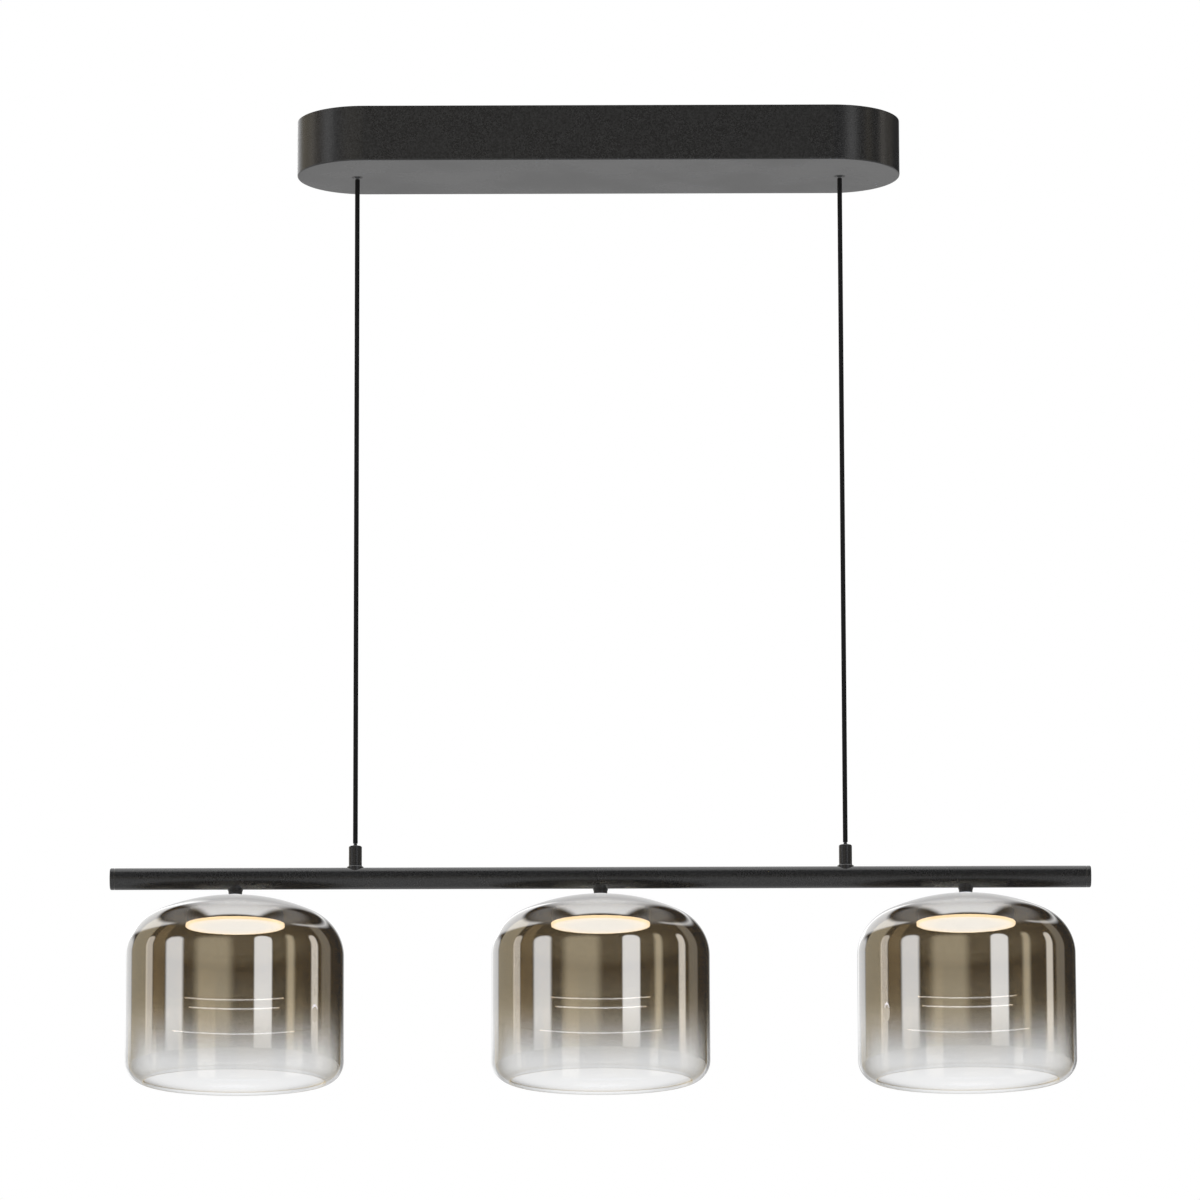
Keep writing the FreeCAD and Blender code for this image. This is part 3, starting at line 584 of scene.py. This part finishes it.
def make_world():
    """White to the camera; to mirror surfaces a dim room with soft boxes and a backdrop."""
    world = bpy.data.worlds.new("studio")
    bpy.context.scene.world = world
    t = Tree(world)
    direction = t.add("ShaderNodeTexCoord").outputs["Generated"]
    x, y, z = t.axes(direction)
    around = t.math("DEGREES", t.math("ARCTAN2", x, t.math("MULTIPLY", y, -1.0)))
    up = t.math("DEGREES", t.math("ARCSINE", z))
    backdrop = t.math("MULTIPLY", t.rise(t.math("ABSOLUTE", around), *BACKDROP_FROM),
                      t.rise(up, *BACKDROP_TOP, 1.0, 0.0))
    level = t.math("MULTIPLY_ADD", backdrop, BACKDROP_LEVEL, DIM)
    level = t.math("ADD", level, t.rise(up, *BELOW_FROM, 0.0, BELOW))
    height = t.math("MAXIMUM", z, LEAST_HEIGHT)
    aside = t.math("ABSOLUTE", t.math("DIVIDE", x, height))
    back = t.math("DIVIDE", y, height)
    panel = t.math("MULTIPLY", t.rise(aside, *PANEL_HALF_WIDTH), t.rise(back, *PANEL_FRONT))
    room = t.math("MULTIPLY_ADD", panel, t.rise(back, *PANEL_BACK, *PANEL_LEVEL), level)
    room = t.math("MULTIPLY_ADD", arc_band(t, around, up), ARC_LEVEL, room)
    for *shape, colour in PATCHES:
        room = t.vector("MULTIPLY_ADD", patch(t, around, up, *shape), colour, room)
    path = t.add("ShaderNodeLightPath").outputs
    seen = t.math("MAXIMUM", path["Is Glossy Ray"], path["Is Transmission Ray"])
    colour = t.blend(seen, ROOM_LIGHT, room)
    colour = t.blend(path["Is Camera Ray"], colour, 1.0)
    t.output(t.fill("ShaderNodeBackground", (colour,)).outputs[0], "ShaderNodeOutputWorld")


def soft_light(name, place, aim, size, power):
    """A large area lamp that matt surfaces see; mirrors see the world's soft boxes."""
    data = bpy.data.lights.new(name, "AREA")
    data.shape = "DISK"
    data.size = size
    data.energy = power
    lamp = new_object(name, data)
    lamp.location = place
    lamp.rotation_mode = "QUATERNION"
    lamp.rotation_quaternion = (Vector(aim) - Vector(place)).to_track_quat("-Z", "Y")
    lamp.visible_glossy = False
    lamp.visible_camera = False


def make_floor():
    """One face under the object, which isn't a part of it."""
    half = FLOOR_SIZE / 2
    mesh = bpy.data.meshes.new("floor")
    corners = [(-half, -half, FLOOR_Z), (half, -half, FLOOR_Z),
               (half, half, FLOOR_Z), (-half, half, FLOOR_Z)]
    mesh.from_pydata(corners, [], [(0, 1, 2, 3)])
    mesh.materials.append(material(pale_floor))
    floor = new_object("floor", mesh)


# ---- Pieces -------------------------------------------------------------------------

def make_cable(side, x, finish):
    """The cable hangs straight from its ball to its grip on the bar."""
    curve = bpy.data.curves.new(side + "_cable_braid", "CURVE")
    curve.dimensions = "3D"
    curve.bevel_depth = CABLE_DIAMETER / 2
    curve.bevel_resolution = CABLE_BEVEL_STEPS
    curve.use_fill_caps = True
    route = [(x, 0, CABLE_TOP), (x, 0, CABLE_TOP - STRAIGHT_END),
             (x, 0, CABLE_BOTTOM + STRAIGHT_END), (x, 0, CABLE_BOTTOM)]
    spline = curve.splines.new("NURBS")
    spline.points.add(len(route) - 1)
    for point, place in zip(spline.points, route):
        point.co = (*place, 1.0)
    spline.order_u = CABLE_CURVE_ORDER
    spline.use_endpoint_u = True
    curve.materials.append(finish)
    piece = new_object(side + "_cable_braid", curve)
    piece.visible_glossy = False
    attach(piece, side + "_cable")
    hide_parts(side + "_cable")


def arc(centre, radius, start, end, steps):
    """Points (r, z) along an arc, by degrees above the horizontal, both ends included."""
    points = []
    for i in range(steps + 1):
        angle = math.radians(start + (end - start) * i / steps)
        points.append((centre[0] + radius * math.cos(angle),
                       centre[1] + radius * math.sin(angle)))
    return points


def glass_skin(offset):
    """The points down one face of the glass, offset inwards from the outside."""
    # the crown's top is cut off by the hole, so its own top lies above the box
    sag = CROWN_RADIUS - math.sqrt(CROWN_RADIUS ** 2 - HOLE_RADIUS ** 2)
    crown_centre = (0.0, shade_top + sag - CROWN_RADIUS)
    run = shade_radius - SHOULDER_RADIUS
    rise = math.sqrt((CROWN_RADIUS - SHOULDER_RADIUS) ** 2 - run ** 2)
    tangent = math.degrees(math.atan2(rise, run))
    corner = (shade_radius - CORNER_RADIUS,
              shade_foot + CORNER_RADIUS * math.sin(math.radians(LIP_ANGLE)))
    start = math.degrees(math.acos(HOLE_RADIUS / (CROWN_RADIUS - offset)))
    crown = arc(crown_centre, CROWN_RADIUS - offset, start, tangent, CROWN_STEPS)
    shoulder = arc((run, crown_centre[1] + rise), SHOULDER_RADIUS - offset, tangent, 0,
                   SHOULDER_STEPS)
    foot = arc(corner, CORNER_RADIUS - offset, 0, -LIP_ANGLE, FOOT_STEPS)
    top_z, low_z = shoulder[-1][1], foot[0][1]
    wall = [(shoulder[-1][0], top_z + (low_z - top_z) * i / WALL_STEPS)
            for i in range(1, WALL_STEPS)]
    return crown + shoulder[1:] + wall + foot


def make_shade(side, x, coat, bare):
    """Lathed glass: both skins, a rounded rim and a hole at the crown."""
    outer = glass_skin(0.0)
    inner = glass_skin(GLASS)
    rim_centre = ((outer[-1][0] + inner[-1][0]) / 2, (outer[-1][1] + inner[-1][1]) / 2)
    direction = math.degrees(math.atan2(outer[-1][1] - rim_centre[1],
                                        outer[-1][0] - rim_centre[0]))
    rim = arc(rim_centre, GLASS / 2, direction, direction - 180, RIM_STEPS)[1:-1]
    profile = outer + rim + inner[::-1]
    verts = []
    for i in range(SHADE_SIDES):
        turn = 2 * math.pi * i / SHADE_SIDES
        for r, z in profile:
            verts.append((x + r * math.cos(turn), r * math.sin(turn), z))
    count = len(profile)
    faces, bare_faces = [], []
    for i in range(SHADE_SIDES):
        j = (i + 1) % SHADE_SIDES
        for k in range(count):
            n = (k + 1) % count
            faces.append((i * count + k, i * count + n, j * count + n, j * count + k))
            bare_faces.append(k >= len(outer) - 1)
    mesh = bpy.data.meshes.new(side + "_glass")
    mesh.from_pydata(verts, [], faces)
    mesh.materials.append(coat)
    mesh.materials.append(bare)
    for face, is_bare in zip(mesh.polygons, bare_faces):
        face.use_smooth = True
        face.material_index = 1 if is_bare else 0
    mesh.update()
    piece = new_object(side + "_glass", mesh)
    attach(piece, "light_bar")
    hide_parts(side + "_shade")


def dress(finish, names):
    """Gives the CAD pieces of these names a material."""
    for name in names:
        for slot in nodes[name].material_slots:
            slot.material = finish


KEY_LIGHT = {"place": (-2.2, -3.2, 1.6), "aim": (0, 0, -0.6), "size": 2.6, "power": 70.0}


# ---- The scene ----------------------------------------------------------------------

bpy.context.scene.view_settings.view_transform = "Standard"
make_camera()
braid = material(cable_braid)
for side, x in (("left", -CABLE_X), ("right", CABLE_X)):
    make_cable(side, x, braid)

coat = material(smoked_glass)
bare = material(bare_glass)
for side in LAMPS:
    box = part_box(side + "_shade")
    make_shade(side, (box[0].x + box[1].x) / 2, coat, bare)

dress(material(satin_black_paint),
      ["canopy_cover", "canopy_side_screws", "bar_tube", "left_end_cap", "right_end_cap"])
dress(material(turned_black_metal),
      [side + part for side in SIDES for part in ("_swivel_bush", "_cable_grip")]
      + [side + "_collar" for side in LAMPS])
dress(material(zinc_steel),
      ["ceiling_bracket", "driver_screws", "earth_screw", "left_grip_nut", "right_grip_nut",
       "nipple_nuts", "lock_nuts"] + [side + "_nipple" for side in LAMPS])
dress(material(clear_silicone),
      [side + part for side in LAMPS for part in ("_glass_washer", "_inner_washer")])
dress(material(black_nylon),
      [side + part for side in SIDES for part in ("_exit_gland", "_gland_cap")])
dress(material(white_plastic), ["driver_housing", "driver_lid", "terminal_block"])
dress(material(circuit_board), ["driver_board"] + [side + "_led_board" for side in LAMPS])
dress(material(wire_jacket),
      ["driver_lead", "left_canopy_lead", "right_canopy_lead", "bar_lead", "feed_leads",
       "drop_leads"])
dress(material(cast_aluminium), [side + "_heat_sink" for side in LAMPS])
dress(material(lit_opal), [side + "_diffuser" for side in LAMPS])
# mirrors show no other CAD piece than the lit discs
for name, node in nodes.items():
    node.visible_glossy = name.endswith("_diffuser")

make_world()
make_floor()
soft_light("key", **KEY_LIGHT)
